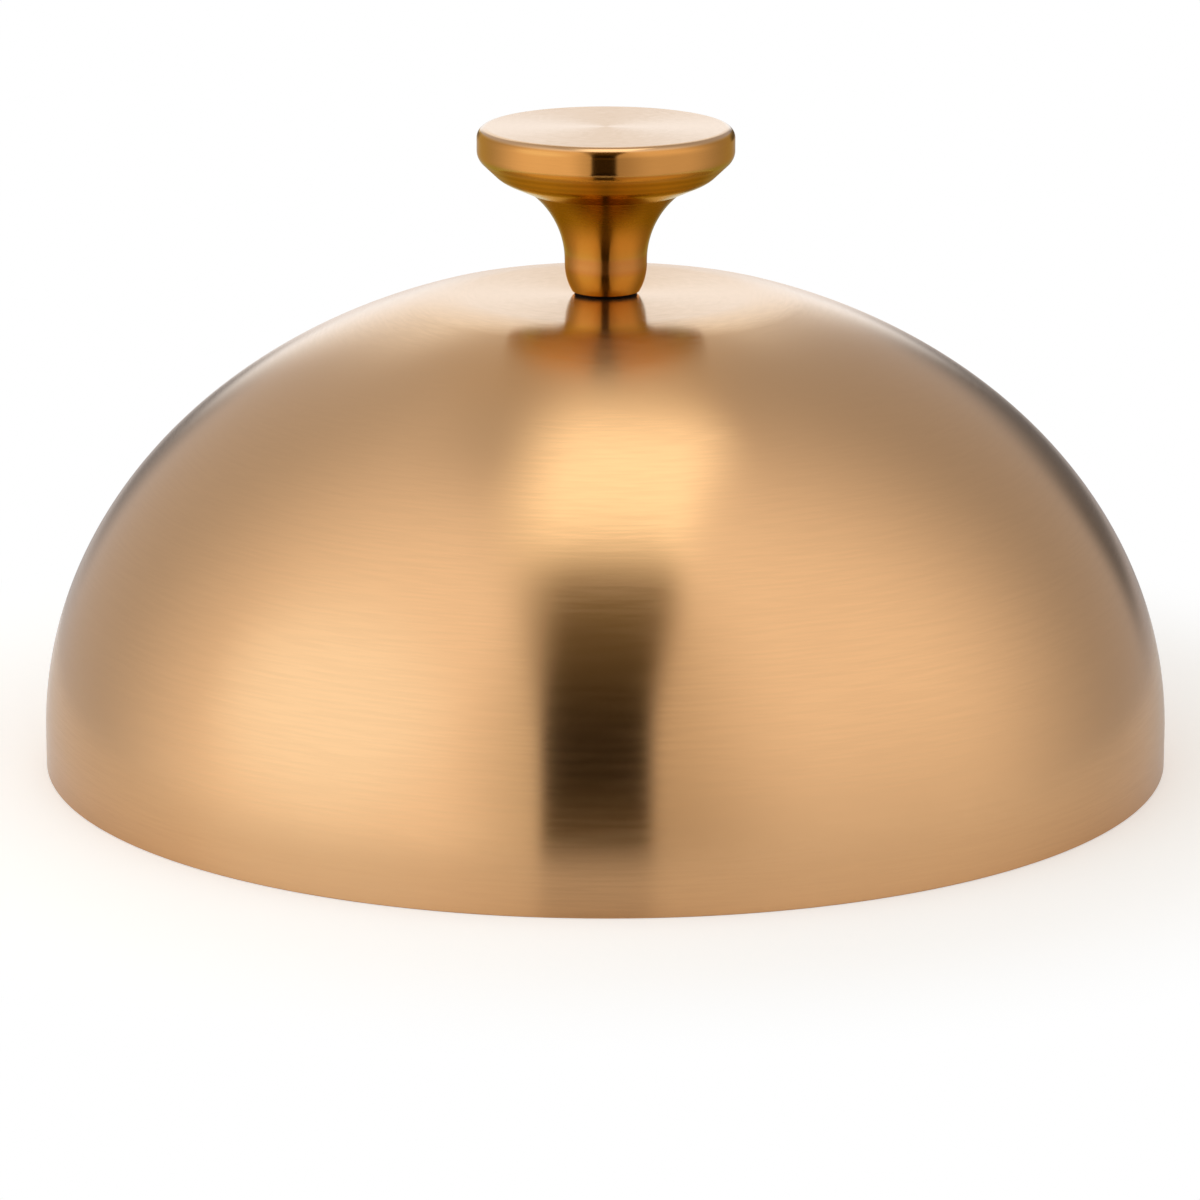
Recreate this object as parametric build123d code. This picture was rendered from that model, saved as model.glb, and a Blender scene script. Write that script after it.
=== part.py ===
from build123d import *

import math
import os

# Melting dome: a drawn metal dome with a flat crown, and a hollow knob held by one screw from inside.
# Millimetres. The origin is the centre of the rim's plane, and +Z points up along the dome's axis.

# Dome
RIM_RADIUS = 100.0  # outside
DOME_HEIGHT = 83.5  # rim to the crown's outer face
SKIRT_HEIGHT = 6.0  # straight wall above the rim
CROWN_RADIUS = 29.6  # where the crown's plane would meet the curved side
CROWN_BLEND = 35.0  # rounding between the crown and the side, outside
DOME_WALL = 0.7
RIM_EDGE = 0.2  # deburred edges of the trimmed rim

# Knob
KNOB_HEIGHT = 29.2  # foot to the top of the cap
KNOB_WALL = 0.7
CAP_RADIUS = 22.65
CAP_SIDE = 5.35  # upright band of the cap, with the roundings at its ends
CAP_EDGE = 1.9  # rounding of the cap's top edge
CAP_CORNER = 2.8  # rounding between the band and the underside
CONE_WIDTH = 4.15  # steep outer part of the underside
CONE_HEIGHT = 3.95
CONE_BLEND = 7.6  # rounding between the steep and the shallow part
DISH_WIDTH = 5.2  # shallow inner part of the underside, around the mouth
DISH_HEIGHT = 2.3
FOOT_RADIUS = 5.95
FOOT_HEIGHT = 4.8  # rounded part of the foot
WAIST_RADIUS = 7.25
WAIST_HEIGHT = 0.6  # upright part between the foot and the flare
FLANGE_SHARE = 0.4  # stem's flange inside the cap, as a share of the dish's width
NECK_CLEARANCE = 0.1  # stem in the cap's mouth
INSERT_HEIGHT = 8.0  # threaded bush in the stem's foot

# Gasket, washers and screw
GASKET_RADIUS = 5.5
GASKET_THICKNESS = 0.5
SCREW_RADIUS = 2.5
SCREW_LENGTH = 12.0  # under the head
SCREW_TIP = 0.5  # chamfer at the end
HEAD_RADIUS = 4.75
HEAD_SIDE = 1.2  # upright edge of the head
HEAD_HEIGHT = 3.7
RECESS_SPAN = 4.6
RECESS_WIDTH = 1.2
RECESS_DEPTH = 2.2
RECESS_TAPER = 8.0  # degrees
HOLE_CLEARANCE = 0.25  # screw in the crown, the gasket and the stem's foot
WASHER_CLEARANCE = 0.1  # screw in the washers
THREAD_CLEARANCE = 0.05  # screw in the bush
FLAT_WASHER_RADIUS = 5.0
FLAT_WASHER_THICKNESS = 1.0
SPRING_WASHER_RADIUS = 4.6
SPRING_WASHER_THICKNESS = 1.2
SPLIT_WIDTH = 0.6
SPLIT_ANGLE = 20.0  # degrees off the axis

# Heights in the stack, from the screw's head up to the cap
CROWN_INSIDE = DOME_HEIGHT - DOME_WALL
FLAT_WASHER_BOTTOM = CROWN_INSIDE - FLAT_WASHER_THICKNESS
HEAD_SEAT = FLAT_WASHER_BOTTOM - SPRING_WASHER_THICKNESS
FOOT = DOME_HEIGHT + GASKET_THICKNESS
WAIST = FOOT + FOOT_HEIGHT
FLARE = WAIST + WAIST_HEIGHT
CAP_TOP = FOOT + KNOB_HEIGHT
CAP_BAND = CAP_TOP - CAP_SIDE
MOUTH = CAP_BAND - CONE_HEIGHT - DISH_HEIGHT
MOUTH_RADIUS = CAP_RADIUS - CONE_WIDTH - DISH_WIDTH
HOLE_RADIUS = SCREW_RADIUS + HOLE_CLEARANCE
WASHER_BORE = SCREW_RADIUS + WASHER_CLEARANCE


def turned(*lines):
    """Solid turned about the Z axis from the closed half section that the lines bound."""
    return revolve(Plane.XZ * make_face(lines), Axis.Z)


def ring(outer, inner, bottom, top):
    """Ring about the Z axis between two heights."""
    section = Rectangle(outer - inner, top - bottom, align=(Align.MIN, Align.MIN))
    return revolve(Plane.XZ * Pos(inner, bottom) * section, Axis.Z)


def plug(radius, bottom, top):
    """Cylinder about the Z axis between two heights."""
    return Pos(0, 0, bottom) * Cylinder(radius, top - bottom, align=(Align.CENTER, Align.CENTER, Align.MIN))


def dome_block(inset):
    """Solid with the dome's outside, or with its inside when inset by the wall.

    The side is a quarter ellipse on a straight skirt, cut off by the crown's plane.
    """
    radius = RIM_RADIUS - inset
    crown = DOME_HEIGHT - inset
    ellipse_height = (DOME_HEIGHT - SKIRT_HEIGHT) / math.sqrt(1 - (CROWN_RADIUS / RIM_RADIUS) ** 2) - inset
    sweep = math.degrees(math.asin((crown - SKIRT_HEIGHT) / ellipse_height))
    side = EllipticalCenterArc((0, SKIRT_HEIGHT), radius, ellipse_height, arc_size=sweep)
    outline = Polyline(side @ 1, (0, crown), (0, 0), (radius, 0), side @ 0)
    block = turned(side, outline)
    crown_edge = block.edges().filter_by(GeomType.CIRCLE).sort_by(Axis.Z)[-1]
    return fillet(crown_edge, CROWN_BLEND - inset)


def dome_shell():
    """Drawn dome with the screw's hole in its crown and deburred rim edges."""
    shell = dome_block(0) - dome_block(DOME_WALL) - plug(HOLE_RADIUS, 0, DOME_HEIGHT)
    return fillet(shell.edges().group_by(Axis.Z)[0], min(RIM_EDGE, DOME_WALL / 3))


def dish(radius):
    """Height of the dish's outer face at a radius."""
    return MOUTH + (radius - MOUTH_RADIUS) * DISH_HEIGHT / DISH_WIDTH


def dish_inside(radius):
    """Height of the dish's inner face at a radius, one wall above the outer face, square to it."""
    return dish(radius) + KNOB_WALL * math.hypot(1, DISH_HEIGHT / DISH_WIDTH)


def knob_cap():
    """Hollow cap of sheet metal: flat top, upright band, cone, and a dish with a round mouth."""
    start = MOUTH_RADIUS - KNOB_WALL
    outside = FilletPolyline(
        (start, dish(start)),
        (CAP_RADIUS - CONE_WIDTH, CAP_BAND - CONE_HEIGHT),
        (CAP_RADIUS, CAP_BAND),
        (CAP_RADIUS, CAP_TOP),
        (0, CAP_TOP),
        radius=(CONE_BLEND, CAP_CORNER, CAP_EDGE),
    )
    return turned(offset(outside, KNOB_WALL, side=Side.LEFT)) - plug(MOUTH_RADIUS, FOOT, CAP_BAND)


def foot_round():
    """Outer arc of the foot, from the waist down to the foot's flat, upright at the waist."""
    return TangentArc((WAIST_RADIUS, WAIST), (FOOT_RADIUS, FOOT), tangent=(0, -1))


def knob_stem():
    """Trumpet of sheet metal: pierced foot, waist, flare, a neck in the cap's mouth, and a flange inside it."""
    neck = MOUTH_RADIUS - NECK_CLEARANCE
    flange = MOUTH_RADIUS + FLANGE_SHARE * DISH_WIDTH
    flare = TangentArc((WAIST_RADIUS, FLARE), (neck, MOUTH), tangent=(0, 1))
    outside = Curve() + [
        Line((HOLE_RADIUS, FOOT), (FOOT_RADIUS, FOOT)),
        foot_round(),
        Line((WAIST_RADIUS, WAIST), (WAIST_RADIUS, FLARE)),
        flare,
        Polyline((neck, MOUTH), (neck, dish_inside(neck)), (flange, dish_inside(flange))),
    ]
    return turned(offset(outside, KNOB_WALL, side=Side.LEFT))


def knob_insert():
    """Threaded bush that fills the foot of the stem, resting on the foot's bottom."""
    radius = WAIST_RADIUS - KNOB_WALL
    bottom = FOOT + KNOB_WALL
    top = bottom + INSERT_HEIGHT
    bore = SCREW_RADIUS + THREAD_CLEARANCE
    outer = foot_round()
    arc_radius = outer.radius - KNOB_WALL
    bottom_radius = outer.arc_center.X + math.sqrt(arc_radius**2 - (WAIST - bottom) ** 2)
    return turned(
        TangentArc((radius, WAIST), (bottom_radius, bottom), tangent=(0, -1)),
        Polyline((radius, WAIST), (radius, top), (bore, top), (bore, bottom), (bottom_radius, bottom)),
    )


def spring_washer():
    """Split ring, closed flat under the screw's head, with a slanted gap."""
    middle = HEAD_SEAT + SPRING_WASHER_THICKNESS / 2
    gap = Box(2 * SPRING_WASHER_RADIUS, SPLIT_WIDTH, 4 * SPRING_WASHER_THICKNESS)
    slot = Pos(SPRING_WASHER_RADIUS, 0, middle) * Rot(SPLIT_ANGLE, 0, 0) * gap
    return ring(SPRING_WASHER_RADIUS, WASHER_BORE, HEAD_SEAT, FLAT_WASHER_BOTTOM) - slot


def fixing_screw():
    """Pan head screw, driven upwards from inside the dome, with a cross recess."""
    tip = HEAD_SEAT + SCREW_LENGTH
    head = EllipticalCenterArc((0, HEAD_SEAT - HEAD_SIDE), HEAD_RADIUS, HEAD_HEIGHT - HEAD_SIDE, 270, arc_size=90)
    outline = Polyline(
        head @ 1,
        (HEAD_RADIUS, HEAD_SEAT),
        (SCREW_RADIUS, HEAD_SEAT),
        (SCREW_RADIUS, tip - SCREW_TIP),
        (SCREW_RADIUS - SCREW_TIP, tip),
        (0, tip),
        head @ 0,
    )
    cross = Rectangle(RECESS_SPAN, RECESS_WIDTH) + Rectangle(RECESS_WIDTH, RECESS_SPAN)
    face = Plane.XY.offset(HEAD_SEAT - HEAD_HEIGHT)
    return turned(head, outline) - extrude(face * cross, RECESS_DEPTH, taper=RECESS_TAPER)


PIECES = {
    "dome_shell": dome_shell(),
    "knob_cap": knob_cap(),
    "knob_stem": knob_stem(),
    "knob_insert": knob_insert(),
    "knob_gasket": ring(GASKET_RADIUS, HOLE_RADIUS, DOME_HEIGHT, FOOT),
    "flat_washer": ring(FLAT_WASHER_RADIUS, WASHER_BORE, FLAT_WASHER_BOTTOM, CROWN_INSIDE),
    "spring_washer": spring_washer(),
    "fixing_screw": fixing_screw(),
}

os.makedirs("parts", exist_ok=True)
for name, shape in PIECES.items():
    export_step(shape, f"parts/{name}.step")
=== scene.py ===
import math

import bpy
import numpy as np
from bpy.props import FloatProperty, FloatVectorProperty, IntProperty, PointerProperty
from mathutils import Matrix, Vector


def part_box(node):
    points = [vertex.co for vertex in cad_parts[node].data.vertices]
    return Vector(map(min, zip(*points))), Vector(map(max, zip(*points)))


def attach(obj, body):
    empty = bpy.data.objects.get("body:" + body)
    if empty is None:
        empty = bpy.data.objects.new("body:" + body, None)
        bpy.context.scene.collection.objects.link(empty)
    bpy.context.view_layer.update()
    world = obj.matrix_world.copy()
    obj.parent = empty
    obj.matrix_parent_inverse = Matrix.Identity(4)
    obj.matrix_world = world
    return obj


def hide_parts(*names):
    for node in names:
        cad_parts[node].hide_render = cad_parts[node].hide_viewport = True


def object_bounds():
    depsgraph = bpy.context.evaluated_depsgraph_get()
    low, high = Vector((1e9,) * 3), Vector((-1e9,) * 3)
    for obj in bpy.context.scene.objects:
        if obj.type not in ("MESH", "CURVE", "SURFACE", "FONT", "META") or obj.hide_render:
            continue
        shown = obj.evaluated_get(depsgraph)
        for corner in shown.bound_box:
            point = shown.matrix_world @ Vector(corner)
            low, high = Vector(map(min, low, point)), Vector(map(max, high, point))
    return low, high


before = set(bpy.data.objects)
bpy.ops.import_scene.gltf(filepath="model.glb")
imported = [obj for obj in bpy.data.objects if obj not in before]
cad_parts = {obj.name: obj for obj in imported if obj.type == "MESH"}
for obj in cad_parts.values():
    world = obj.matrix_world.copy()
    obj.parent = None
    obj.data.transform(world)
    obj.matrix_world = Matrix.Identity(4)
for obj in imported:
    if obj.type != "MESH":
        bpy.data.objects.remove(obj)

bl_info = {
    "name": "Melting Dome",
    "version": (1, 0, 0),
    "blender": (4, 5, 0),
    "location": "View3D > Sidebar > Dome",
    "description": "Builds a brushed gold melting dome with its screwed-on knob, in a light tent",
    "category": "Object",
}

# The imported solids' boxes, from which the sizes that they hold are read. All lengths are in metres.
CAD_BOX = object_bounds()
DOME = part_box("dome_shell")
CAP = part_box("knob_cap")
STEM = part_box("knob_stem")
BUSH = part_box("knob_insert")
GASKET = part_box("knob_gasket")
FLAT_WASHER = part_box("flat_washer")
SPRING_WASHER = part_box("spring_washer")
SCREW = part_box("fixing_screw")
LOW, HIGH = 0, 1
RADIUS, DEPTH, HEIGHT = 0, 1, 2

BLACK = (0.0, 0.0, 0.0, 1.0)
WHITE = (1.0, 1.0, 1.0, 1.0)


def length(name, description, default):
    """Property for a length in metres."""
    return FloatProperty(
        name=name, description=description, default=default, min=0.0, precision=5, unit="LENGTH"
    )


def angle(name, description, default):
    """Property for an angle that is written in degrees."""
    return FloatProperty(name=name, description=description, default=math.radians(default), subtype="ANGLE")


def level(name, description, default):
    """Property for a plain number."""
    return FloatProperty(name=name, description=description, default=default, min=0.0, precision=3)


def colour(name, description, default):
    """Property for a linear colour."""
    return FloatVectorProperty(
        name=name, description=description, default=default, min=0.0, max=2.0, subtype="COLOR"
    )


def faces_round(default):
    """Property for the number of faces around the axis."""
    return IntProperty(name="Segments", description="Faces around the axis", default=default, min=48)


class DomeSizes(bpy.types.PropertyGroup):
    """Sizes of the drawn dome."""

    rim_radius: length("Rim radius", "Outside radius at the rim", DOME[HIGH][RADIUS])
    height: length("Height", "From the rim to the crown's outer face", DOME[HIGH][HEIGHT])
    skirt: length("Skirt", "Straight wall above the rim", 0.006)
    crown_radius: length("Crown radius", "Where the crown's plane would meet the curved side", 0.0296)
    crown_blend: length("Crown blend", "Rounding between the crown and the side", 0.035)
    wall: length("Wall", "Thickness of the sheet", 0.0007)
    rim_edge: length("Rim edge", "Rounding of the trimmed rim's edges", 0.0002)
    hole: length("Hole", "Radius of the screw's hole", 0.00275)
    segments: faces_round(360)


class KnobSizes(bpy.types.PropertyGroup):
    """Sizes of the hollow knob: its cap and its stem."""

    wall: length("Wall", "Thickness of the sheet", 0.0007)
    cap_radius: length("Cap radius", "Outside radius of the cap", CAP[HIGH][RADIUS])
    cap_top: length("Cap top", "Height of the cap's flat top", CAP[HIGH][HEIGHT])
    cap_side: length("Cap side", "Upright band of the cap, with the roundings at its ends", 0.00535)
    cap_edge: length("Cap edge", "Rounding of the cap's top edge", 0.0019)
    cap_corner: length("Cap corner", "Rounding between the band and the underside", 0.0028)
    cone_width: length("Cone width", "Steep outer part of the underside, across", 0.00415)
    cone_height: length("Cone height", "Steep outer part of the underside, upwards", 0.00395)
    cone_blend: length("Cone blend", "Rounding between the steep and the shallow part", 0.0076)
    dish_width: length("Dish width", "Shallow inner part of the underside, across", 0.0052)
    dish_height: length("Dish height", "Shallow inner part of the underside, upwards", 0.0023)
    edge: length("Edge", "Narrow bevel on the sheet's sharp edges", 0.00005)
    foot: length("Foot", "Height of the stem's lower face", STEM[LOW][HEIGHT])
    foot_radius: length("Foot radius", "Flat under the foot", 0.00595)
    foot_height: length("Foot height", "Rounded part of the foot", 0.0048)
    waist_radius: length("Waist radius", "Narrow part of the stem", 0.00725)
    waist_height: length("Waist height", "Upright part between the foot and the flare", 0.0006)
    neck_clearance: length("Neck clearance", "Stem in the cap's mouth", 0.0001)
    flange: length("Flange", "Radius of the stem's flange inside the cap", STEM[HIGH][RADIUS])
    ring_start: length("Ring start", "First turning ring, above the cone's lower end", 0.0018)
    ring_pitch: length("Ring pitch", "Height between two turning rings on the cone", 0.00115)
    segments: faces_round(256)


class FixingSizes(bpy.types.PropertyGroup):
    """Sizes of the screw and of what it clamps."""

    shank: length("Shank", "Outside radius of the screw's thread", 0.0025)
    pitch: length("Pitch", "Rise of the thread in one turn", 0.0008)
    thread: length("Thread", "Depth of the thread", 0.0004)
    tip: length("Tip", "Chamfer at the screw's end", 0.0005)
    head_height: length("Head height", "Screw's head", 0.0037)
    head_side: length("Head side", "Upright edge of the head", 0.0012)
    recess_span: length("Recess span", "Cross recess from end to end", 0.0046)
    recess_width: length("Recess width", "Slots of the cross", 0.0012)
    recess_depth: length("Recess depth", "Depth of the cross", 0.0022)
    recess_wall: length("Recess wall", "Run of the cross's sloping walls", 0.0003)
    thread_clearance: length("Thread clearance", "Screw in the bush", 0.00005)
    washer_clearance: length("Washer clearance", "Screw in the washers", 0.0001)
    hole_clearance: length("Hole clearance", "Screw in the gasket and the foot", 0.00025)
    edge: length("Edge", "Rounding of the washers', gasket's and bush's edges", 0.00012)
    split: length("Split", "Gap in the spring washer", 0.0006)
    split_angle: angle("Split angle", "Slant of the gap, off the axis", 20.0)
    segments: faces_round(160)


class Finishes(bpy.types.PropertyGroup):
    """Colours of the metals and the rubber, as linear values. Below the knob's band the golds are partly the
    pieces' own tone and partly painted shade and painted reflection.
    """

    brushed_gold: colour("Brushed gold", "Dome, and top of the knob", (0.83, 0.487, 0.242))
    polished_gold: colour("Polished gold", "Side of the knob's cap", (0.70, 0.32, 0.085))
    # Golds below the cap's band, darker and shifted in hue by height: painted shade and painted reflection of
    # the hollow under the cap, over the pieces' own tone
    bend_gold: colour("Bend gold", "Rounding between the cap's band and its underside", (0.57, 0.34, 0.06))
    cone_gold: colour("Cone gold", "Steep part of the cap's underside", (0.55, 0.285, 0.018))
    dish_gold: colour("Dish gold", "Shallow part of the cap's underside", (0.52, 0.39, 0.03))
    painted_shade_gold: colour("Shade gold", "Flare of the stem", (0.42, 0.24, 0.015))
    waist_gold: colour("Waist gold", "Narrow part of the stem", (0.61, 0.268, 0.066))
    stem_gold: colour("Stem gold", "Stem below and above the waist", (0.60, 0.35, 0.07))
    grazing_gold: colour("Grazing gold", "Knob's tint at a grazing angle", (1.0, 0.80, 0.45))
    steel: colour("Steel", "Screw, washers and bush", (0.55, 0.54, 0.52))
    rubber: colour("Rubber", "Gasket", (0.005, 0.0025, 0.002))


class StageLevels(bpy.types.PropertyGroup):
    """Camera, floor, and the light tent's colours. Left and right are as the camera sees them."""

    distance: length("Distance", "Camera in front of the dome's axis", 0.9775)
    rise: length("Rise", "Camera above the floor", 0.2817)
    aside: length("Aside", "Camera to the left of the axis", 0.00097)
    pitch: angle("Pitch", "Camera's tilt below the horizon", 14.57)
    roll: angle("Roll", "Camera's turn about its view", 0.05)
    lens: level("Lens", "Focal length in millimetres", 169.6)
    floor_radius: length("Floor radius", "Round floor under the dome", 0.17)
    floor_lift: level("Floor lift", "Light that the camera sees on the floor, besides the tent's", 0.33)
    floor: colour("Floor", "Floor's colour", (0.82, 0.81, 0.80))
    # Painted light: a lighter floor colour on the lamp's side, standing in for the light that falls there
    floor_painted_light: colour("Floor, left side", "Floor's colour on the lamp's side", (0.93, 0.91, 0.89))
    left: colour("Left wall", "Tent's left wall near the camera", (1.05, 1.04, 1.03))
    left_near: colour("Left wall's edge", "Tent's left wall next to the opening", (0.70, 0.68, 0.62))
    left_far: colour("Left wall, far end", "Tent's left wall near the backdrop", (0.51, 0.52, 0.54))
    lamp: colour("Lamp", "Soft spot of the lamp behind the left wall", (1.20, 1.31, 1.40))
    right: colour("Right wall", "Tent's right wall near the camera", (1.01, 0.99, 0.96))
    right_near: colour("Right wall's edge", "Tent's right wall next to the opening", (0.66, 0.62, 0.55))
    right_far: colour("Right wall, far end", "Tent's right wall near the backdrop", (0.42, 0.42, 0.43))
    roof: colour("Roof", "Bright part of the strip, overhead", (1.50, 1.54, 1.46))
    gap: colour("Gap", "Part of the strip between the roof and the backdrop", (0.50, 0.46, 0.40))
    backdrop: colour("Backdrop", "Cool white sheet behind the dome", (1.05, 1.18, 1.30))
    behind: colour("Floor behind", "Part of the strip below the backdrop", (0.90, 0.92, 0.94))
    floor_far: colour("Far floor", "Pale floor right behind the dome", (0.95, 0.95, 0.95))
    opening: colour("Opening", "Dark part of the strip, on the camera's side", (0.015, 0.010, 0.003))
    opening_high: colour("Opening's upper end", "Dark part, near the roof", (0.13, 0.095, 0.03))
    opening_low: colour("Opening's lower end", "Dark part, near the horizon", (0.10, 0.075, 0.03))


def settings():
    """The scene's settings for this object."""
    return bpy.context.scene.melting_dome


def arc(centre, radii, start, end, points):
    """Elliptical arc: the centre plus the radii times the cosine and sine of an angle from start to end."""
    turn = np.radians(np.linspace(start, end, points))
    return np.asarray(centre) + np.column_stack((np.cos(turn), np.sin(turn))) * radii


def upright_arc(start, end, points):
    """Circular arc that leaves start upright and reaches end: its centre is level with start."""
    (r, z), (end_r, end_z) = start, end
    centre = (end_r**2 - r**2 + (end_z - z) ** 2) / (2 * (end_r - r))
    radius = abs(r - centre)
    first = 0.0 if r > centre else 180.0
    last = math.degrees(math.atan2(end_z - z, end_r - centre))
    return arc((centre, z), radius, first, last, points)


def joined(*stretches):
    """One outline from stretches laid end to end, without points that are repeated within 0.1 micrometres."""
    points = np.vstack(stretches)
    step = np.linalg.norm(np.diff(points, axis=0, prepend=points[:1] + 1.0), axis=1)
    return points[step > 1e-7]


def unit(vectors):
    """Vectors divided by their lengths."""
    return vectors / np.linalg.norm(vectors, axis=1, keepdims=True)


def rounded(corners, radius, points=5):
    """Closed outline with rounded corners, by one radius or by a list of them.

    Each arc's centre stands off its corner, along the bisector.
    """
    corner = np.asarray(corners, float)
    radius = np.broadcast_to(radius, len(corner))
    back = unit(np.roll(corner, 1, axis=0) - corner)
    ahead = unit(np.roll(corner, -1, axis=0) - corner)
    half = np.arccos(np.clip((back * ahead).sum(axis=1), -1.0, 1.0)) / 2
    start = corner + back * (radius / np.tan(half))[:, None]
    centre = corner + unit(back + ahead) * (radius / np.sin(half))[:, None]
    side = np.sign(back[:, 1] * ahead[:, 0] - back[:, 0] * ahead[:, 1])
    turn = np.linspace(0.0, 1.0, points) * (side * (math.pi - 2 * half))[:, None]
    arm = (start - centre)[:, None, :]
    turned_r = arm[..., 0] * np.cos(turn) - arm[..., 1] * np.sin(turn)
    turned_z = arm[..., 0] * np.sin(turn) + arm[..., 1] * np.cos(turn)
    return joined((centre[:, None, :] + np.stack((turned_r, turned_z), axis=-1)).reshape(-1, 2))


def inset(corners, wall):
    """Corners of the parallel outline, a wall away on the left: each lies where two shifted edges meet."""
    edge = np.diff(corners, axis=0)
    left = np.column_stack((-edge[:, 1], edge[:, 0])) / np.linalg.norm(edge, axis=1, keepdims=True)
    before, after = left[[0, *range(len(left))]], left[[*range(len(left)), -1]]
    return corners + wall * (before + after) / (1 + (before * after).sum(axis=1, keepdims=True))


def bevelled(outline, reach):
    """Outline whose sharp corners are each split in two points, a reach off the corner.

    A corner is sharp when the outline turns by more than 10 degrees there.
    """
    back = unit(np.roll(outline, 1, axis=0) - outline)
    ahead = unit(np.roll(outline, -1, axis=0) - outline)
    sharp = (back * ahead).sum(axis=1, keepdims=True) > -math.cos(math.radians(10.0))
    before = np.where(sharp, outline + back * reach, outline)
    after = np.where(sharp, outline + ahead * reach, outline)
    return joined(np.stack((before, after), axis=1).reshape(-1, 2))


def outward(outline, closed):
    """Outline's normals: the sum of the normals of the edges before and after a point, by their lengths."""
    edge = np.diff(outline, axis=0, append=outline[:1])
    normal = np.column_stack((edge[:, 1], -edge[:, 0]))
    if not closed:
        normal[-1] = normal[-2]
    before = np.roll(normal, 1, axis=0)
    if not closed:
        before[0] = normal[0]
    return unit(normal + before)


def distances(outline):
    """Distance of each of an outline's points from its first, along the outline."""
    return np.cumsum(np.linalg.norm(np.diff(outline, axis=0, prepend=outline[:1]), axis=1))


def full_turn(columns):
    """Evenly spaced angles round the axis."""
    return np.linspace(0.0, 2 * math.pi, columns, endpoint=False)


def round_axis(r, turn, z):
    """Points at radii, angles a and heights: (r cos a, r sin a, z)."""
    return np.stack((r * np.cos(turn), r * np.sin(turn), z + 0 * turn), axis=-1)


def add_object(name, data):
    """Object for a finished mesh or camera, in the scene."""
    added = bpy.data.objects.new(name, data)
    bpy.context.scene.collection.objects.link(added)
    return added


def store_arc(mesh, values):
    """Keeps each vertex's distance along its outline as the attribute arc, for the materials."""
    arcs = mesh.attributes.new("arc", "FLOAT", "POINT")
    arcs.data.foreach_set("value", values.astype(np.float32))


def skin(name, grid, normals, along, closed=True, finish=None):
    """Mesh object over a grid: rows follow an outline, and columns go round and meet.

    A closed outline's last row meets its first, and an open one's end rows each shrink to a point.
    The rows' distances along the outline are kept as the attribute arc, and finish numbers each
    row's material.
    """
    rows, columns = grid.shape[:2]
    index = np.arange(rows * columns).reshape(rows, columns)
    keep = np.ones(rows * columns, bool)
    if not closed:
        index = np.clip(index - columns + 1, 0, (rows - 2) * columns + 1)
        keep[1:columns] = False
        keep[1 - columns:] = False
    ahead = np.roll(index, -1, axis=0) if closed else index[1:]
    here = index if closed else index[:-1]
    quads = np.stack((here, np.roll(here, -1, axis=1), np.roll(ahead, -1, axis=1), ahead), axis=-1)
    sizes = np.full(quads.shape[:2], 4)
    corners = np.ones(quads.shape, bool)
    if not closed:
        corners[0, :, 1] = False
        corners[-1, :, 2] = False
        sizes[[0, -1]] = 3
    loops = quads[corners]
    sizes = sizes.ravel()
    mesh = bpy.data.meshes.new(name)
    mesh.vertices.add(int(keep.sum()))
    mesh.vertices.foreach_set("co", grid.reshape(-1, 3)[keep].ravel())
    mesh.loops.add(len(loops))
    mesh.loops.foreach_set("vertex_index", loops.astype(np.int32))
    mesh.polygons.add(len(sizes))
    mesh.polygons.foreach_set("loop_start", (np.cumsum(sizes) - sizes).astype(np.int32))
    if finish is not None:
        mesh.polygons.foreach_set("material_index", np.repeat(finish, columns).astype(np.int32))
    mesh.update(calc_edges=True)
    store_arc(mesh, np.repeat(along, columns)[keep])
    mesh.shade_smooth()
    if normals is not None:
        mesh.normals_split_custom_set_from_vertices(normals.reshape(-1, 3)[keep])
    return add_object(name, mesh)


def turned(name, outline, segments, closed=True, finish=None):
    """Piece turned about the Z axis: the outline's point (r, z) at an angle a lands at (r cos a, r sin a, z).

    The outline runs anticlockwise, so the faces point outwards. An open outline starts and ends on the axis.
    """
    turn = full_turn(segments)
    normals = outward(outline, closed)
    if not closed:
        normals[[0, -1], 0] = 0.0
        normals[[0, -1], 1] = np.sign(normals[[0, -1], 1])
    grid = round_axis(outline[:, :1], turn, outline[:, 1:])
    normal_grid = round_axis(normals[:, :1], turn, normals[:, 1:])
    return skin(name, grid, normal_grid, distances(outline), closed, finish)


def stands_for(piece, node, slot, *materials):
    """Gives a finished piece its materials, and its CAD node's place in the object."""
    for material in materials:
        piece.data.materials.append(material)
    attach(piece, "root")
    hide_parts(node)


def add_node(tree, kind, inputs=None, **options):
    """Adds a shader node, with its options, and links or sets its inputs."""
    node = tree.nodes.new(kind)
    for name, value in options.items():
        setattr(node, name, value)
    for name, value in (inputs or {}).items():
        if isinstance(value, bpy.types.NodeSocket):
            tree.links.new(value, node.inputs[name])
        else:
            node.inputs[name].default_value = value
    return node


def first_node(tree, kind):
    """First node of a kind in a tree."""
    return next(node for node in tree.nodes if node.bl_idname == kind)


def maths(tree, operation, first, second=0.0, third=0.0):
    """Result of a Math node."""
    return add_node(tree, "ShaderNodeMath", {0: first, 1: second, 2: third}, operation=operation).outputs[0]


def product(tree, first, *others):
    """Product of values."""
    for other in others:
        first = maths(tree, "MULTIPLY", first, other)
    return first


def between(tree, value, low, high, low_result=0.0, high_result=1.0):
    """Value carried smoothly from one range to another."""
    inputs = {"Value": value, "From Min": low, "From Max": high, "To Min": low_result, "To Max": high_result}
    return add_node(tree, "ShaderNodeMapRange", inputs, interpolation_type="SMOOTHSTEP").outputs["Result"]


def spread(tree, factor, first, second):
    """Number between two numbers."""
    return maths(tree, "MULTIPLY_ADD", factor, second - first, first)


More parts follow.
